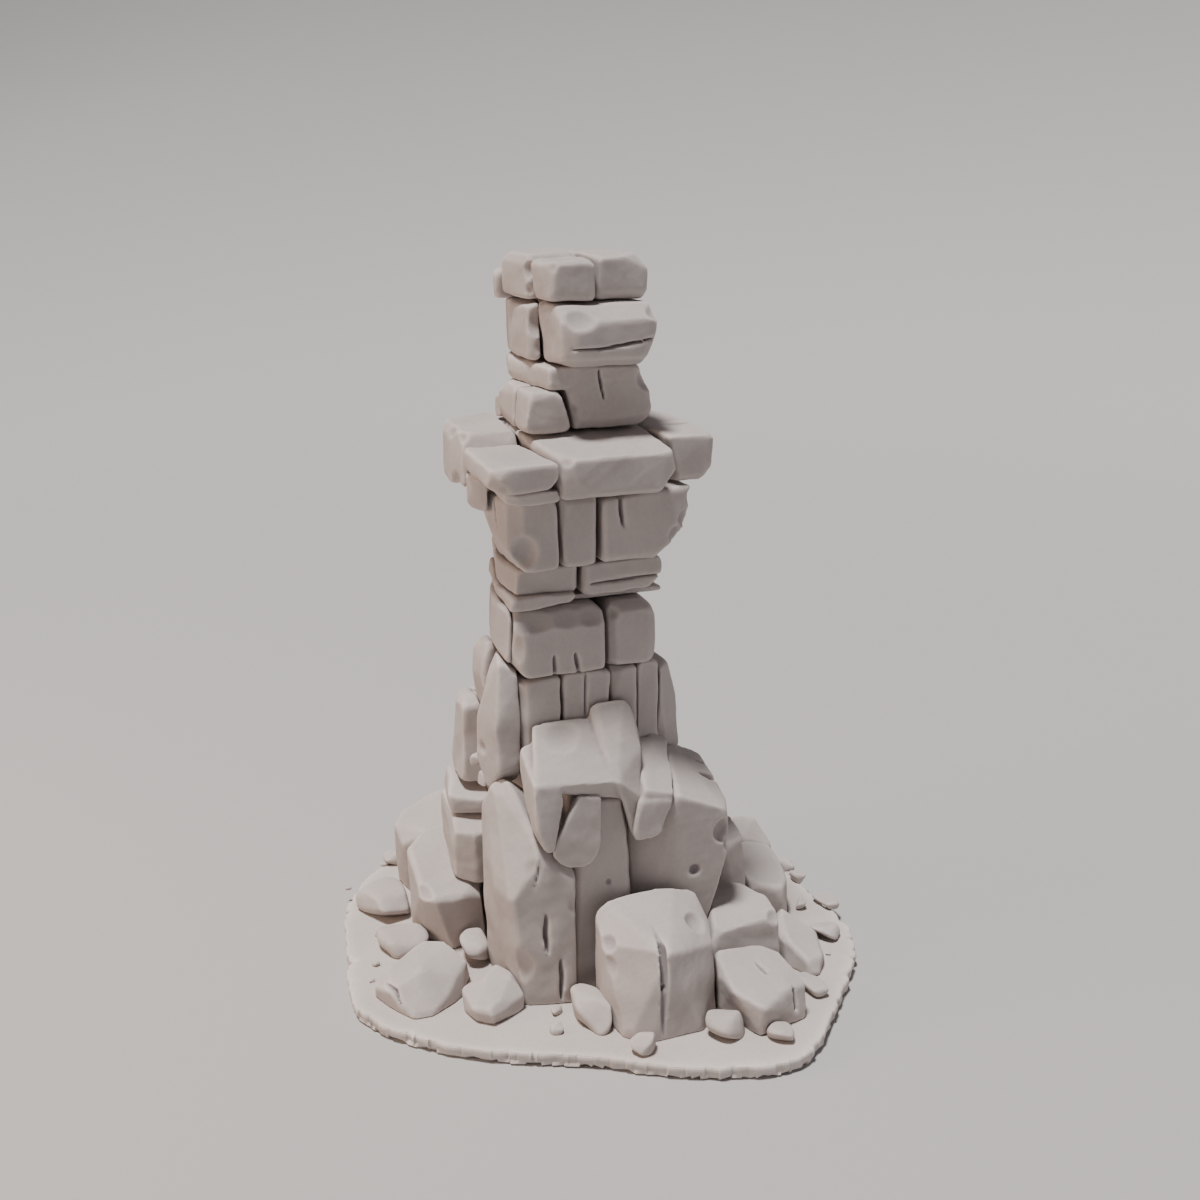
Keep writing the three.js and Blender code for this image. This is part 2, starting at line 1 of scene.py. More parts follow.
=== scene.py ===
"""A stone cairn: blocks stacked into a column on a heap of boulders, all on a thin chipped slab.

Every stone is carved out of the plain faceted solid of its CAD node, or, for three of them, out of
lumps that are listed here. Faces are blended into worn edges, small flats are chiselled along them,
and bowls and cracks are cut where a stone has them. The slab's rim is chipped and notched. The small
loose stones, the chips and the pebbles are made here alone.
Lengths in the carving code are in millimetres, in the row's frame.
"""
import math

import bmesh
import bpy
import numpy as np
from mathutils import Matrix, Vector


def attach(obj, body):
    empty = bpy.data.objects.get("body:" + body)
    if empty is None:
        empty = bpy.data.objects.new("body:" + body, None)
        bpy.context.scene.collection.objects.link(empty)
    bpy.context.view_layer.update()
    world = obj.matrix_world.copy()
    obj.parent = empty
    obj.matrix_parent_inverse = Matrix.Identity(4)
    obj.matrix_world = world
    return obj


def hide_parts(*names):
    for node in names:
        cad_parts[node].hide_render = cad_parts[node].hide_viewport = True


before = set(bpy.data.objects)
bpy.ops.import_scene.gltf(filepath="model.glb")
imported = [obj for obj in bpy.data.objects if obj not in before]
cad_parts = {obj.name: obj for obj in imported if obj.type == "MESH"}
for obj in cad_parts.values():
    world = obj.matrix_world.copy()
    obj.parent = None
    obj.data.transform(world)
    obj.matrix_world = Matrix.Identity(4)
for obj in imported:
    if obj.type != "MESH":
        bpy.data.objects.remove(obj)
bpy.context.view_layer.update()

MM = 0.001
VOXEL = 4.4  # grid step of a carved stone
BACK_VOXEL = 6.0  # the same at the back of the cairn
CORE_VOXEL = 8.0  # the same for the two stones that are buried in the heap
FINE_VOXEL = 2.6  # the same for small stones
WORN = 1.8  # how widely two faces blend at an edge
SWELL = 0.8  # how far a face wanders from flat
SWELL_LENGTH = 85.0
FINE_SWELL = 0.18  # a smaller and closer unevenness on top of that
FINE_SWELL_LENGTH = 24
WORN_THIN = 1.5  # how widely faces blend on a slight stone
CHIPS = 5.0  # how deep the chiselled flats are
CHIPS_SEATED = 6.5  # the same on a stone that stands on the slab
CHIPS_THIN = 2.0  # the same on a slight stone
SAME_FACE = 4  # facets that turn by fewer degrees than this count as one face
BLUNT_EDGE = 0.8  # no flat along an edge whose faces have a larger cosine than this
SHARP_CORNER = 0.74  # a corner that is less flat than this gets a flat
STRAIGHT_DOWN = -0.98  # a face whose normal points lower than this is a foot
SLAB_TOP = 30.0
RIM_STEP = 3.0  # between points along the slab's rim
RIM_NOTCHES = 34
SHARP_RIM = 12  # the slab's edges are sharp where they turn by more degrees than this


# ---- Hulls ----


def hull_of(points):
    """Corners, outward planes, pairs of neighbouring planes, and each corner's direction and flatness."""
    shell = bmesh.new()
    for point in points:
        shell.verts.new(point)
    bmesh.ops.convex_hull(shell, input=shell.verts)
    loose = [v for v in shell.verts if not v.link_faces]
    bmesh.ops.delete(shell, geom=loose, context="VERTS")
    bmesh.ops.dissolve_limit(
        shell, angle_limit=math.radians(SAME_FACE), verts=shell.verts, edges=shell.edges
    )
    shell.normal_update()
    shell.faces.index_update()
    corners = np.array([v.co for v in shell.verts])
    planes = [
        (np.array(f.normal), float((corners @ np.array(f.normal)).max()))
        for f in shell.faces
    ]
    pairs = [
        (e.link_faces[0].index, e.link_faces[1].index)
        for e in shell.edges
        if len(e.link_faces) == 2
    ]
    directions = []
    for v in shell.verts:
        mean = np.mean([np.array(f.normal) for f in v.link_faces], axis=0)
        flatness = float(np.linalg.norm(mean))
        directions.append((mean / flatness, flatness))
    shell.free()
    return corners, planes, pairs, directions


def node_points(name):
    """The corners of a CAD node, in millimetres."""
    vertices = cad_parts[name].data.vertices
    return np.unique(np.array([v.co for v in vertices]).round(5), axis=0) / MM


def chisel_cuts(corners, planes, pairs, directions, depth, rng, seated):
    """Planes that take narrow flats off a hull's edges and corners, deeper where they are sharper."""
    cuts = []
    for first, second in pairs:
        a, b = planes[first][0], planes[second][0]
        if a @ b < BLUNT_EDGE:
            bisector = a * rng.uniform(0.7, 1.4) + b + rng.normal(0, 0.05, 3)
            cuts.append((bisector, rng.uniform(0.35, 1) * min(1, 1 - a @ b)))
    for direction, flatness in directions:
        if flatness < SHARP_CORNER:
            cuts.append((direction + rng.normal(0, 0.12, 3), rng.uniform(0.8, 1.6)))
    result = []
    for normal, share in cuts:
        normal = normal / np.linalg.norm(normal)
        if not (seated and normal[2] < -0.2):
            result.append((normal, float((corners @ normal).max()) - share * depth))
    return result


# ---- Fields: negative inside the stone, about the distance to its surface in millimetres ----


def smooth_max(a, b, blend):
    overlap = np.maximum(blend - np.abs(a - b), 0)
    return np.maximum(a, b) + overlap * overlap / (4 * blend)


class Grid:
    """A box of sample points round some corners."""

    def __init__(self, corners, voxel):
        self.voxel = voxel
        self.origin = corners.min(0) - 2.5 * voxel
        counts = np.ceil((corners.max(0) + 2.5 * voxel - self.origin) / voxel).astype(int) + 1
        axes = [
            (self.origin[i] + voxel * np.arange(counts[i])).astype(np.float32)
            for i in range(3)
        ]
        self.x = axes[0][:, None, None]
        self.y = axes[1][None, :, None]
        self.z = axes[2][None, None, :]

    def along(self, direction):
        dx, dy, dz = (np.float32(v) for v in direction)
        return dx * self.x + dy * self.y + dz * self.z

    def distance(self, point):
        px, py, pz = point
        return np.sqrt((self.x - px) ** 2 + (self.y - py) ** 2 + (self.z - pz) ** 2)


def hull_field(grid, points, worn, chips, rng, seated):
    """The field of a worn, chiselled convex stone. A seated one keeps a sharp foot."""
    corners, planes, pairs, directions = hull_of(points)
    cuts = chisel_cuts(corners, planes, pairs, directions, chips, rng, seated) if chips else []
    field = None
    feet = []
    for normal, reach in planes + cuts:
        side = grid.along(normal) - np.float32(reach)
        if seated and normal[2] < STRAIGHT_DOWN:
            feet.append(side)
        elif field is None:
            field = side
        else:
            field = smooth_max(field, side, worn)
    for side in feet:
        field = np.maximum(field, side)
    return field


def swell(grid, length, height, rng):
    """A soft random unevenness, as a sum of waves."""
    total = 0
    for _ in range(7):
        direction = rng.normal(0, 1, 3)
        direction *= 2 * math.pi / (np.linalg.norm(direction) * length * rng.uniform(0.6, 1.5))
        total = total + np.sin(grid.along(direction) + np.float32(rng.uniform(0, 6.28)))
    return total * np.float32(height * 0.5)


def bowl(grid, field, point, outward, width, depth):
    """Takes a shallow bowl out of the surface at a point, as the mark of a ball that sinks into it."""
    outward = np.array(outward, float) / np.linalg.norm(outward)
    radius = (width * width / 4 + depth * depth) / (2 * depth)
    centre = np.array(point, float) + outward * (radius - depth)
    return smooth_max(field, radius - grid.distance(centre), 1.5)


def crack(grid, field, path, inward, half_width, depth):
    """Cuts a tapering cleft along a path of surface points. It reaches inwards by its depth."""
    inward = np.array(inward, float)
    inward /= np.linalg.norm(inward)
    path = [np.array(p, float) for p in path]
    lengths = [np.linalg.norm(b - a) for a, b in zip(path, path[1:])]
    run = 0.0
    for a, b, length in zip(path, path[1:], lengths):
        step = (b - a) / length
        from_a = grid.along(step) - np.float32(a @ step)
        share = np.clip(from_a / length, 0, 1)
        rx = grid.x - (a[0] + (b - a)[0] * share)
        ry = grid.y - (a[1] + (b - a)[1] * share)
        rz = grid.z - (a[2] + (b - a)[2] * share)
        into = rx * inward[0] + ry * inward[1] + rz * inward[2]
        across = rx * rx + ry * ry + rz * rz - into * into
        squeezed = np.sqrt(np.maximum(across, 0) + (into * (half_width / depth)) ** 2)
        place = (run + share * length) / sum(lengths)
        width = half_width * np.sqrt(np.clip(1.04 - (2 * place - 1) ** 2, 0, 1))
        field = smooth_max(field, width - squeezed, 1.2)
        run += length
    return field


# ---- Meshes ----


def skin(field, grid):
    """A quad mesh on the field's zero level, with one vertex in each cell that the surface crosses."""
    inside = field < 0
    cells = tuple(n - 1 for n in field.shape)
    total = np.zeros(cells + (3,), np.float32)
    hits = np.zeros(cells, np.int32)
    crossings = []
    for axis in range(3):
        low = [slice(None)] * 3
        high = [slice(None)] * 3
        low[axis] = slice(None, -1)
        high[axis] = slice(1, None)
        start, end = field[tuple(low)], field[tuple(high)]
        crossed = inside[tuple(low)] != inside[tuple(high)]
        part = np.where(crossed, start / np.where(crossed, start - end, 1), 0)
        crossings.append((crossed, inside[tuple(low)]))
        others = [i for i in range(3) if i != axis]
        for da in (0, 1):
            for db in (0, 1):
                window = [slice(None)] * 3
                window[others[0]] = slice(da, da + cells[others[0]])
                window[others[1]] = slice(db, db + cells[others[1]])
                here = crossed[tuple(window)]
                total[..., axis] += part[tuple(window)]
                total[..., others[0]] += here * da
                total[..., others[1]] += here * db
                hits += here
    active = hits > 0
    index = np.full(cells, -1, np.int64)
    index[active] = np.arange(active.sum())
    places = np.argwhere(active) + total[active] / hits[active][:, None]
    vertices = places * grid.voxel + grid.origin
    quads = []
    for axis, (crossed, starts_inside) in enumerate(crossings):
        u, v = (axis + 1) % 3, (axis + 2) % 3
        inner = [slice(None)] * 3
        inner[u] = slice(1, -1)
        inner[v] = slice(1, -1)
        spots = np.argwhere(crossed[tuple(inner)])
        spots[:, u] += 1
        spots[:, v] += 1
        ring = []
        for du, dv in ((-1, -1), (0, -1), (0, 0), (-1, 0)):
            cell = spots.copy()
            cell[:, u] += du
            cell[:, v] += dv
            ring.append(index[tuple(cell.T)])
        quad = np.stack(ring, 1)
        turned = ~starts_inside[tuple(spots.T)]
        quad[turned] = quad[turned][:, ::-1]
        quads.append(quad)
    return vertices, np.concatenate(quads)


def add_mesh(name, vertices, faces, material):
    """A mesh object in the row frame, from millimetre vertices and faces that all have as many sides."""
    mesh = bpy.data.meshes.new(name)
    sides = faces.shape[1]
    mesh.vertices.add(len(vertices))
    mesh.vertices.foreach_set("co", (vertices * MM).astype(np.float32).ravel())
    mesh.loops.add(faces.size)
    mesh.loops.foreach_set("vertex_index", faces.astype(np.int32).ravel())
    mesh.polygons.add(len(faces))
    mesh.polygons.foreach_set("loop_start", np.arange(0, faces.size, sides, dtype=np.int32))
    mesh.update(calc_edges=True)
    mesh.validate()
    mesh.polygons.foreach_set("use_smooth", np.ones(len(mesh.polygons), bool))
    mesh.materials.append(material)
    piece = bpy.data.objects.new(name, mesh)
    bpy.context.scene.collection.objects.link(piece)
    return piece


# ---- Materials ----


def stone_material(name, dark, light, seed):
    """Matte stone: soft clouds of two close tones, a fine grain, painted shade in its creases and hollows,
    a painted highlight along its sharp outer edges, and a little relief.
    """
    material = bpy.data.materials.new(name)
    material.use_nodes = True
    nodes, links = material.node_tree.nodes, material.node_tree.links
    shader = nodes["Principled BSDF"]
    shader.inputs["Roughness"].default_value = 0.9
    shader.inputs["Specular IOR Level"].default_value = 0.25
    place = nodes.new("ShaderNodeTexCoord")

    def noise(scale, detail, offset):
        shift = nodes.new("ShaderNodeMapping")
        shift.inputs["Location"].default_value = (offset, seed, -offset)
        links.new(place.outputs["Object"], shift.inputs["Vector"])
        texture = nodes.new("ShaderNodeTexNoise")
        texture.inputs["Scale"].default_value = scale
        texture.inputs["Detail"].default_value = detail
        links.new(shift.outputs["Vector"], texture.inputs["Vector"])
        return texture.outputs["Fac"]

    def ramp(source, *stops):
        node = nodes.new("ShaderNodeValToRGB")
        while len(node.color_ramp.elements) < len(stops):
            node.color_ramp.elements.new(0.5)
        for element, (position, color) in zip(node.color_ramp.elements, stops):
            element.position = position
            element.color = (*color, 1)
        links.new(source, node.inputs["Fac"])
        return node.outputs["Color"]

    def multiply(first, second):
        node = nodes.new("ShaderNodeMix")
        node.data_type = "RGBA"
        node.blend_type = "MULTIPLY"
        node.inputs["Factor"].default_value = 1
        links.new(first, node.inputs["A"])
        links.new(second, node.inputs["B"])
        return node.outputs["Result"]

    clouds = ramp(noise(5.5, 4, 3.1), (0.32, dark), (0.68, light))
    grain = ramp(noise(140, 3, 7.7), (0.3, (0.95, 0.945, 0.945)), (0.6, (1, 1, 1)))
    # Painted shade and highlight from pointiness, not wear: creases and hollows turn a dark bluish grey,
    # flat faces stay a little darker, and sharp outer edges are painted lighter.
    worn = nodes.new("ShaderNodeNewGeometry").outputs["Pointiness"]
    edges = ramp(
        worn,
        (0.455, (0.52, 0.51, 0.57)),
        (0.495, (0.82, 0.82, 0.825)),
        (0.505, (0.84, 0.84, 0.84)),
        (0.54, (1, 1, 1)),
    )
    links.new(multiply(multiply(clouds, grain), edges), shader.inputs["Base Color"])

    relief = nodes.new("ShaderNodeMath")
    relief.operation = "MULTIPLY_ADD"
    relief.inputs[1].default_value = 3.0
    links.new(noise(26, 5, 1.3), relief.inputs[0])
    links.new(noise(190, 4, 5.9), relief.inputs[2])
    bump = nodes.new("ShaderNodeBump")
    bump.inputs["Strength"].default_value = 0.22
    bump.inputs["Distance"].default_value = 0.0012
    links.new(relief.outputs["Value"], bump.inputs["Height"])
    links.new(bump.outputs["Normal"], shader.inputs["Normal"])
    return material


STONE = stone_material("stone", (0.465, 0.415, 0.395), (0.53, 0.478, 0.458), 0.0)
SLAB = stone_material("slab_stone", (0.53, 0.475, 0.445), (0.59, 0.535, 0.505), 9.0)


# ---- The stones that stand for CAD nodes ----

# The saddle stone's lumps: a sloping back, a raised right lobe, and a leg down each side of an arch.
SADDLE = [
    [
        (-172, -110, 603), (-50, -110, 606), (50, -110, 545), (-204, -225, 520), (-34, -226, 506),
        (24, -208, 451), (-150, -208, 490), (-16, -208, 476), (-172, -110, 490), (50, -110, 480),
    ],
    [
        (-52, -108, 624), (-40, -112, 632), (24, -108, 636), (38, -108, 622), (60, -108, 545),
        (-48, -165, 566), (-34, -226, 506), (38, -166, 542), (24, -208, 451), (-40, -108, 530),
        (46, -150, 500),
    ],
    [
        (-200, -114, 562), (-172, -114, 566), (-204, -225, 520), (-150, -226, 508), (-200, -230, 415),
        (-184, -232, 376), (-164, -230, 374), (-140, -224, 476), (-146, -180, 480), (-204, -130, 500),
        (-160, -190, 380), (-200, -190, 415),
    ],
    [
        (-34, -226, 506), (32, -208, 449), (30, -206, 390), (4, -214, 376), (-14, -216, 462),
        (48, -160, 480), (32, -165, 390), (8, -170, 384), (0, -160, 480),
    ],
]

# The neck beam's lumps: a bed over the corner stones, and the block that carries it.
NECK = [
    [
        (-106, -45, 1250), (-106, -45, 1294), (76, -45, 1290), (80, -45, 1268), (-131, 140, 1252),
        (-135, 132, 1266), (-131, 140, 1290), (76, 190, 1294), (76, 190, 1250), (-120, 190, 1294),
        (-116, 190, 1252), (-70, -45, 1248),
    ],
    [
        (-72, -45, 1252), (-44, -46, 1190), (-52, -34, 1170), (80, -34, 1170), (109, -44, 1194),
        (99, -45, 1244), (76, -45, 1290), (72, 190, 1292), (104, 190, 1228), (96, 190, 1170),
        (-50, 190, 1170), (-72, 190, 1252),
    ],
]

# The wedge stone's lumps: a tapering back, and a blunt foot that hangs over the boulder's face.
WEDGE = [
    [
        (27, -222, 476), (90, -220, 458), (14, -222, 440), (50, -90, 530), (100, -80, 533),
        (130, -84, 516), (50, -90, 440), (112, -90, 440), (20, -222, 420), (84, -220, 420),
    ],
    [
        (16, -226, 456), (88, -224, 446), (62, -229, 380), (48, -230, 372), (6, -228, 370),
        (2, -226, 386), (20, -192, 450), (76, -198, 440), (58, -202, 382), (8, -190, 376),
    ],
]

LUMPS = {"saddle_stone": (SADDLE, 9), "neck_beam": (NECK, 4), "wedge_stone": (WEDGE, 6)}

# Stones that are too slight for deep flats.
THIN = ("waist_shim", "waist_bed", "shoulder_shim", "tongue_stone", "wedge_stone")

# Bowls broken out of a stone: a point on its surface, the way out of it, the bowl's width and depth.
BOWLS = {
    "brow_front": [
        ((-60, -86, 1384), (0, -0.7, 0.7), 66, 11),
        ((92, -74, 1396), (0.5, -0.6, 0.6), 44, 12),
        ((96, -78, 1314), (0.8, -0.6, -0.1), 36, 9),
        ((-92, -66, 1402), (-0.5, -0.4, 0.75), 30, 7),
    ],
    "brow_left": [
        ((-112, 20, 1364), (-0.1, -0.95, 0.3), 62, 13),
        ((-104, 16, 1326), (0.1, -1, 0), 40, 8),
    ],
    "crown_left": [
        ((-120, 46, 1464), (-0.3, -0.85, 0.4), 42, 11),
        ((-119, 44, 1430), (-0.4, -0.9, 0), 30, 7),
    ],
    "crown_front": [((-98, -46, 1478), (-0.6, -0.6, 0.5), 34, 6)],
    "crown_right": [((84, -38, 1488), (0.5, -0.5, 0.7), 50, 8)],
    "neck_beam": [
        ((88, -46, 1262), (0.5, -0.85, 0.1), 48, 13),
        ((-60, -44, 1206), (-0.5, -0.8, 0), 34, 7),
    ],
    "chest_left": [((-180, -112, 957), (-0.3, -0.95, 0), 64, 12)],
    "chest_middle": [((-100, -106, 922), (-0.5, -0.8, -0.3), 30, 5)],
    "chest_right": [
        ((152, -110, 994), (0.6, -0.75, -0.2), 46, 14),
        ((132, -110, 966), (0.5, -0.8, -0.4), 40, 11),
        ((162, -106, 1034), (0.85, -0.5, 0), 36, 8),
    ],
    "shoulder_left": [
        ((-266, 100, 1158), (-0.75, -0.1, 0.65), 46, 12),
        ((-260, 38, 1158), (-0.6, -0.4, 0.7), 38, 10),
        ((-262, 66, 1064), (-0.9, -0.3, -0.2), 40, 7),
    ],
    "shoulder_right": [((206, -106, 1085), (0.6, -0.7, -0.4), 40, 8)],
    "shoulder_centre": [
        ((104, -166, 1086), (0.6, -0.7, -0.3), 46, 8),
        ((-112, -162, 1136), (-0.5, -0.5, 0.7), 34, 7),
    ],
    "shoulder_front_left": [((-236, -162, 1092), (-0.4, -0.8, -0.4), 44, 6)],
    "hip_front": [
        ((-160, -104, 812), (0, -0.8, 0.6), 86, 8),
        ((-96, -106, 812), (0, -0.8, 0.6), 76, 7),
        ((-40, -104, 812), (0, -0.8, 0.6), 70, 8),
        ((-196, -106, 760), (-0.7, -0.7, 0), 60, 6),
    ],
    "hip_right": [((2, -96, 806), (-0.5, -0.7, 0.5), 50, 8)],
    "saddle_stone": [
        ((-122, -142, 580), (0, -0.6, 0.8), 66, 6),
        ((-20, -196, 548), (-0.2, -0.7, 0.7), 46, 5),
    ],
    "knee_left_upright": [((-262, -50, 541), (-0.95, -0.3, 0), 38, 9)],
    "right_boulder": [
        ((143, -213, 274), (0, -1, 0), 25, 13),
        ((208, -213, 352), (0.45, -0.88, 0), 58, 24),
        ((222, -206, 320), (0.8, -0.55, 0), 44, 12),
    ],
    "left_boulder": [
        ((-212, -224, 338), (-0.6, -0.7, 0.4), 60, 8),
        ((-120, -226, 250), (0.3, -0.95, 0), 60, 9),
        ((-216, -216, 120), (-0.7, -0.7, 0), 70, 8),
    ],
    "right_block": [((310, -262, 166), (0.3, -0.8, 0.5), 60, 16)],
    "pillar_stone": [((-41, -200, 274), (0, -1, 0), 15, 6)],
    "front_boulder": [
        ((-87, -309, 201), (-0.6, -0.35, 0.7), 44, 12),
        ((98, -315, 220), (0.5, -0.45, 0.75), 50, 13),
        ((-80, -380, 120), (-0.6, -0.8, 0), 70, 10),
        ((-84, -330, 160), (-0.9, -0.4, 0.2), 50, 8),
    ],
    "left_outer_boulder": [((-362, 60, 176), (-0.6, -0.5, 0.6), 60, 9)],
}

# Clefts: the path along the surface, the way in, half the width, and the depth.
CRACKS = {
    "neck_beam": [([(-8, -45, 1292), (-2, -45, 1258), (5, -45, 1226)], (0, 1, 0), 3, 16)],
    "brow_front": [
        ([(-74, -88, 1331), (-20, -92, 1330), (50, -90, 1340), (104, -78, 1348)], (0, 1, 0), 3, 18),
    ],
    "chest_right": [([(15, -112, 1062), (15, -112, 1025), (21, -112, 985)], (0, 1, 0), 4.2, 18)],
    "chest_left": [([(-222, -52, 1048), (-222, -56, 1020), (-220, -60, 996)], (0.9, 0.3, 0), 2.6, 11)],
    "hip_front": [
        ([(-120, -111, 692), (-123, -111, 742)], (0, 1, 0), 4, 16),
        ([(-70, -111, 692), (-80, -111, 744)], (0, 1, 0), 4, 16),
    ],
    "knee_front_middle": [([(-55, -104, 700), (-57, -104, 640), (-54, -104, 590)], (0, 1, 0), 2.6, 9)],
    "waist_right": [([(-62, -88, 868), (0, -88, 872), (120, -84, 876)], (0, 1, 0), 2.8, 16)],
    "left_boulder": [
        ([(-181, -224, 242), (-183, -224, 195), (-179, -224, 150)], (0, 1, 0), 5.2, 20),
        ([(-154, -227, 140), (-151, -227, 92), (-153, -226, 36)], (0, 1, 0), 4.8, 18),
        ([(-190, -224, 372), (-197, -224, 330), (-206, -222, 300)], (0, 1, 0), 2.4, 8),
    ],
    "pillar_stone": [([(-62, -202, 480), (-64, -202, 420), (-66, -204, 380)], (0, 1, 0), 2.4, 8)],
    "front_boulder": [
        ([(3, -308, 246), (-2, -385, 232), (-4, -411, 150), (-6, -412, 36)], (0, 0.8, -0.6), 7, 30)
    ],
    "loose_left_stone": [
        ([(-488, -100, 80), (-474, -134, 78), (-468, -158, 50)], (0.5, 0.6, -0.6), 4.2, 16),
    ],
    "front_right_block": [
        ([(216, -348, 124), (227, -398, 117)], (0, 0.2, -1), 3.2, 10),
        ([(262, -434, 108), (264, -436, 45)], (-0.3, 0.9, 0), 4, 15),
    ],
    "shoulder_front_left": [([(-232, -120, 1140), (-124, -96, 1140)], (0, 0.2, -1), 2, 7)],
    "right_boulder": [
        ([(244, -112, 418), (188, -126, 448)], (-0.2, 0.5, -0.8), 8, 22),
        ([(238, -70, 438), (196, -80, 462)], (-0.2, 0.5, -0.8), 5, 14),
    ],
}


def carve(name, lumps, joining, worn, chips, voxel, seed, seated):
    """Builds one stone's mesh from the corner points of its lumps."""
    rng = np.random.default_rng(seed)
    grid = Grid(np.concatenate([np.array(l, float) for l in lumps]), voxel)
    field = None
    for points in lumps:
        lump = hull_field(grid, points, worn, chips, rng, seated)
        field = lump if field is None else -smooth_max(-field, -lump, joining)
    field = field + swell(grid, SWELL_LENGTH, SWELL, rng)
    field = field + swell(grid, FINE_SWELL_LENGTH, FINE_SWELL, rng)
    for point, outward, width, depth in BOWLS.get(name, []):
        field = bowl(grid, field, point, outward, width, depth)
    for path, inward, half_width, depth in CRACKS.get(name, []):
        field = crack(grid, field, path, inward, half_width, depth)
    return skin(field, grid)


def voxel_of(name):
    if name.endswith("_core"):
        return CORE_VOXEL
    return BACK_VOXEL if any(word in name for word in ("back", "rear", "far")) else VOXEL


def carve_nodes():
    for seed, name in enumerate(sorted(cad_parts)):
        if name == "base_slab":
            continue
        lumps, joining = LUMPS.get(name, ([node_points(name)], 1))
        thin = name in THIN
        seated = min(np.array(l, float)[:, 2].min() for l in lumps) < SLAB_TOP + 2
        chips = CHIPS_THIN if thin else CHIPS_SEATED if seated else CHIPS
        worn = WORN_THIN if thin else WORN
        vertices, faces = carve(name, lumps, joining, worn, chips, voxel_of(name), seed, seated)
        piece = add_mesh(f"{name}_carved", vertices, faces, STONE)
        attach(piece, "root")
        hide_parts(name)


carve_nodes()


# ---- The slab ----


def rim_outline():
    """The slab's rim from its CAD node, anticlockwise from above, in millimetres."""
    points = node_points("base_slab")
    level = np.abs(points[:, 2] - (SLAB_TOP - 4)) < 0.5
    rim = points[level][:, :2]
    order = np.argsort(np.arctan2(rim[:, 1], rim[:, 0]))
    return rim[order]


def along_rim(rim, step):
    """Points every step round the rim, with corners cut off softly."""
    closed = np.vstack([rim, rim[:1]])
    lengths = np.linalg.norm(np.diff(closed, axis=0), axis=1)
    run = np.concatenate([[0], np.cumsum(lengths)])
    count = int(run[-1] / step)
    places = np.arange(count) * run[-1] / count
    points = np.stack([np.interp(places, run, closed[:, i]) for i in range(2)], 1)
    for _ in range(60):
        points = (np.roll(points, 1, 0) + 2 * points + np.roll(points, -1, 0)) / 4
    return points


def chip_depths(count, step, rng, shortest, longest, deepest):
    """How deep the rim is chipped at each point: flats that meet at small steps."""
    depths = np.zeros(count)
    start = 0
    while start < count:
        length = int(rng.uniform(shortest, longest) / step) + 1
        first, last = rng.uniform(0, deepest, 2)
        stretch = np.linspace(first, last, length)[: count - start]
        depths[start : start + length] = stretch
        start += length
    return depths


def carve_slab():
    rng = np.random.default_rng(5)
    step = RIM_STEP
    rim = along_rim(rim_outline(), step)
    count = len(rim)
    ahead = np.roll(rim, -1, 0) - np.roll(rim, 1, 0)
    outward = np.stack([ahead[:, 1], -ahead[:, 0]], 1)
    outward /= np.linalg.norm(outward, axis=1)[:, None]
    face = chip_depths(count, step, rng, 10, 40, 6)
    foot = chip_depths(count, step, rng, 8, 30, 10)
    lip = chip_depths(count, step, rng, 12, 45, 5)
    for spot in rng.integers(0, count, RIM_NOTCHES):
        reach = rng.integers(2, 7)
        notch = np.maximum(0, 1 - np.abs(np.arange(-reach, reach + 1)) / (reach + 0.5))
        at = (spot + np.arange(-reach, reach + 1)) % count
        lip[at] += notch * rng.uniform(4, 10)
        face[at] += notch * rng.uniform(2, 7)
    rings = []
    for height, inset in (
        (0, 8 + foot),
        (5, 3 + foot),
        (12, face + 1.5),
        (20, face),
        (25, face + 0.1 * lip),
        (28.6, 0.6 + face + 0.5 * lip),
        (30, 2.4 + face + 0.9 * lip),
    ):
        ring = rim - outward * np.asarray(inset + np.zeros(count))[:, None]
        rings.append(np.column_stack([ring, np.full(count, float(height))]))
    flat = rings[-1]
    for scale in (0.975, 0.95, 0.91, 0.85, 0.77, 0.67, 0.55, 0.4, 0.22):
        ring = flat * (scale, scale, 1)
        angle = np.arctan2(ring[:, 1], ring[:, 0])
        ring[:, 2] += 0.8 * np.sin(3 * angle + 9 * scale) * np.sin(5 * angle - 14 * scale)
        rings.append(ring)
    vertices = np.concatenate(rings + [[[0, 0, SLAB_TOP]], [[0, 0, 0]]])
    top, under = len(vertices) - 2, len(vertices) - 1
    here = np.arange(count)
    after = (here + 1) % count
    faces = []
    for level in range(len(rings) - 1):
        low, high = level * count, (level + 1) * count
        faces.append(np.column_stack([low + here, low + after, high + after]))
        faces.append(np.column_stack([low + here, high + after, high + here]))
    last = (len(rings) - 1) * count
    faces.append(np.column_stack([last + here, last + after, np.full(count, top)]))
    faces.append(np.column_stack([after, here, np.full(count, under)]))
    piece = add_mesh("base_slab_carved", vertices, np.concatenate(faces), SLAB)
    piece.data.set_sharp_from_angle(angle=math.radians(SHARP_RIM))
    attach(piece, "root")
    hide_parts("base_slab")


carve_slab()


# ---- Small stones that lie on the slab and in the joints ----

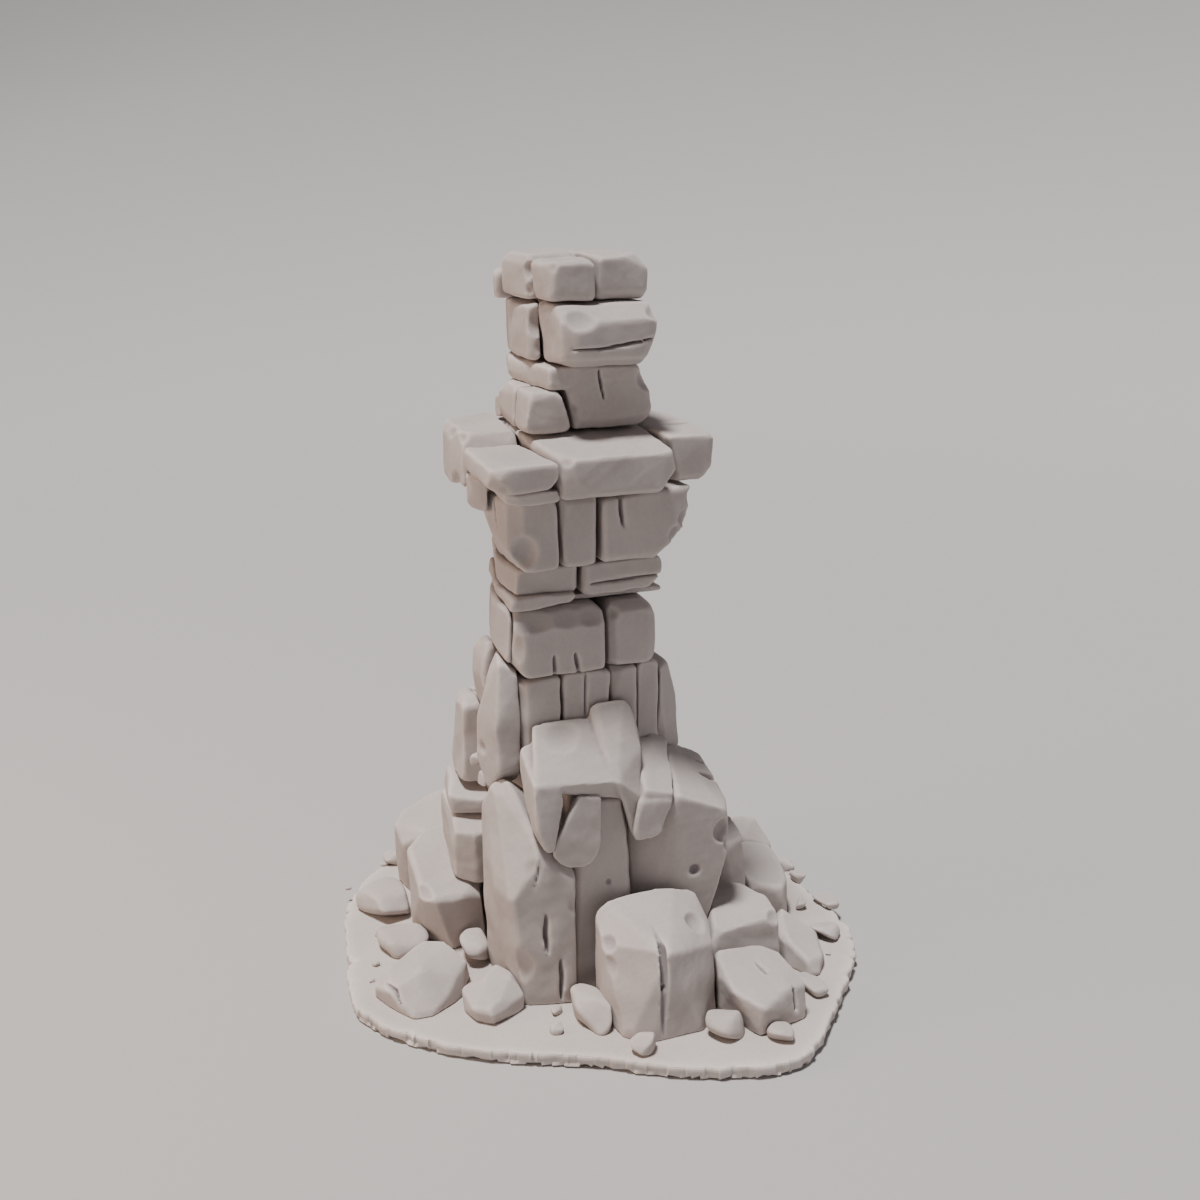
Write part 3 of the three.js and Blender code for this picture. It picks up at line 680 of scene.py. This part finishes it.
# name: (centre x, y, height of its foot), (half sizes), turn in degrees
SMALL_STONES = {
    "front_loose_stone": ((-114, -292, 30), (42, 72, 62), 8),
    "left_flat_stone": ((-408, 108, 30), (58, 70, 44), 20),
    "left_tucked_stone": ((-272, 12, 30), (38, 60, 62), -10),
    "left_back_stone": ((-410, 272, 30), (58, 74, 66), 15),
    "left_far_stone": ((-342, 488, 30), (28, 26, 36), 0),
    "front_edge_stone": ((-54, -432, 30), (32, 26, 40), 5),
    "front_round_stone": ((118, -424, 30), (42, 46, 52), 20),
    "front_small_stone": ((212, -484, 30), (32, 34, 36), 0),
    "right_rim_stone": ((546, -50, 30), (30, 38, 26), 10),
    "right_middle_stone": ((484, -42, 30), (28, 20, 26), 35),
    "right_back_stone": ((536, 74, 28), (18, 26, 30), 10),
    "right_far_stone": ((540, 142, 28), (20, 32, 28), 25),
    "right_low_small_stone": ((470, -168, 30), (42, 44, 34), 30),
    "right_front_stone": ((350, -350, 30), (28, 50, 32), 15),
    "knee_high_chip": ((-238, 46, 455), (18, 22, 34), 20),
    "knee_low_chip": ((-236, 26, 424), (17, 20, 30), -15),
    "knee_top_chip": ((-208, 178, 566), (22, 24, 24), 10),
    "neck_chip": ((-140, 160, 1169), (16, 22, 52), 0),
}

# x, y and half the width of each pebble
PEBBLES = [
    (-368, 484, 14), (-385, 401, 15), (-453, 301, 11), (-449, 165, 11), (-478, 46, 12),
    (-498, -12, 10), (-174, -250, 19), (-190, -310, 21), (495, -192, 9), (447, -244, 8),
    (-470, 392, 9), (250, 470, 16), (60, 512, 14), (-140, 498, 17), (385, 372, 18),
]


def lay_small_stone(name, place, half, turn, seed):
    """A rounded stone from random points on an ellipsoid with a flattened foot."""
    rng = np.random.default_rng(seed)
    x, y, foot = place
    points = rng.normal(0, 1, (16, 3))
    points /= np.linalg.norm(points, axis=1)[:, None]
    points = np.sign(points) * np.abs(points) ** 0.75
    points *= 1 / np.abs(points).max(0)
    points[:, 2] = (points[:, 2] + 1) / 2
    points[points[:, 2] < 0.25, 2] = 0
    points *= (half[0], half[1], half[2])
    c, s = math.cos(math.radians(turn)), math.sin(math.radians(turn))
    turned = np.column_stack(
        [
            points[:, 0] * c - points[:, 1] * s + x,
            points[:, 0] * s + points[:, 1] * c + y,
            points[:, 2] + foot,
        ]
    )
    size = min(half)
    vertices, faces = carve(
        name, [turned], 1, min(12, 0.35 * size), 0, max(1.6, min(FINE_VOXEL, size / 9)), seed, True
    )
    piece = add_mesh(name, vertices, faces, STONE)
    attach(piece, "root")


for number, (label, (place, half, turn)) in enumerate(SMALL_STONES.items()):
    lay_small_stone(label, place, half, turn, 200 + number)
for number, (x, y, size) in enumerate(PEBBLES):
    lay_small_stone(
        f"pebble_{number + 1}", (x, y, SLAB_TOP - 1), (size, 0.8 * size, size), 37 * number, 300 + number
    )


# ---- Floor, lights and camera ----

BACKDROP_RISE = 3.5  # metres
BACKDROP_GLOW = 0.15
CAMERA_LENS = 43.456  # a field of view of 45 degrees
CAMERA_PLACE = (-0.9529, -2.6531, 1.708)
CAMERA_PITCH = 17.7  # degrees below level
CAMERA_TURN = -20  # degrees about the vertical


def backdrop_material():
    """A pale matte floor. It glows faintly where it rises, so that the backdrop is less dark."""
    material = bpy.data.materials.new("floor")
    material.use_nodes = True
    nodes, links = material.node_tree.nodes, material.node_tree.links
    shader = nodes["Principled BSDF"]
    shader.inputs["Base Color"].default_value = (0.38, 0.37, 0.37, 1)
    shader.inputs["Roughness"].default_value = 0.95
    shader.inputs["Emission Color"].default_value = (1, 0.985, 0.975, 1)
    height = nodes.new("ShaderNodeSeparateXYZ")
    links.new(nodes.new("ShaderNodeTexCoord").outputs["Object"], height.inputs["Vector"])
    glow = nodes.new("ShaderNodeMapRange")
    glow.inputs["From Min"].default_value = 0
    glow.inputs["From Max"].default_value = BACKDROP_RISE
    glow.inputs["To Min"].default_value = 0
    glow.inputs["To Max"].default_value = BACKDROP_GLOW
    links.new(height.outputs["Z"], glow.inputs["Value"])
    links.new(glow.outputs["Result"], shader.inputs["Emission Strength"])
    material.cycles.emission_sampling = "NONE"
    return material


def add_floor():
    """A round pale floor that rises into a backdrop far behind the object on every side."""
    flat, rise = 6.0, BACKDROP_RISE
    profile = [(0.0, 0.0), (1.0, 0.0), (3.0, 0.0)]
    for turn in np.linspace(0, math.pi / 2, 13):
        profile.append((flat + rise * math.sin(turn), rise - rise * math.cos(turn)))
    profile.append((flat + rise, 9.0))
    spin = bmesh.new()
    line = [spin.verts.new((radius, 0, height - 0.0005)) for radius, height in profile]
    edges = [spin.edges.new(pair) for pair in zip(line, line[1:])]
    bmesh.ops.spin(
        spin, geom=line + edges, cent=(0, 0, 0), axis=(0, 0, 1), angle=2 * math.pi, steps=96, use_merge=True
    )
    bmesh.ops.remove_doubles(spin, verts=spin.verts, dist=1e-4)
    mesh = bpy.data.meshes.new("floor")
    spin.to_mesh(mesh)
    spin.free()
    mesh.polygons.foreach_set("use_smooth", np.ones(len(mesh.polygons), bool))
    mesh.materials.append(backdrop_material())
    floor = bpy.data.objects.new("floor", mesh)
    bpy.context.scene.collection.objects.link(floor)


def add_light(name, kind, place, target, size, power, color):
    """A soft light. Its size is a disk's width in metres, or for the sun an angle in degrees."""
    data = bpy.data.lights.new(name, kind)
    if kind == "SUN":
        data.angle = math.radians(size)
    else:
        data.shape = "DISK"
        data.size = size
    data.energy = power
    data.color = color
    light = bpy.data.objects.new(name, data)
    light.location = place
    light.rotation_euler = (Vector(target) - Vector(place)).to_track_quat("-Z", "Y").to_euler()
    bpy.context.scene.collection.objects.link(light)


def add_lights():
    world = bpy.data.worlds.new("studio")
    world.use_nodes = True
    world.node_tree.nodes["Background"].inputs["Color"].default_value = (0.66, 0.73, 1.0, 1)
    world.node_tree.nodes["Background"].inputs["Strength"].default_value = 0.06
    bpy.context.scene.world = world
    middle = (0, 0, 0.6)
    add_light("key", "SUN", (-0.9, -0.25, 4.8), middle, 10, 5.4, (1.0, 0.97, 0.945))
    add_light("warm_side", "AREA", (-4.0, 0.2, 1.4), middle, 2.2, 80, (1.0, 0.70, 0.50))
    add_light("cool_fill", "AREA", (2.4, -4.0, 1.6), middle, 3.0, 4, (0.80, 0.80, 1.0))


def add_camera():
    data = bpy.data.cameras.new("camera")
    data.sensor_width = 36
    data.lens = CAMERA_LENS
    camera = bpy.data.objects.new("camera", data)
    camera.location = CAMERA_PLACE
    camera.rotation_euler = (math.radians(90 - CAMERA_PITCH), 0, math.radians(CAMERA_TURN))
    bpy.context.scene.collection.objects.link(camera)
    bpy.context.scene.camera = camera


add_floor()
add_lights()
add_camera()
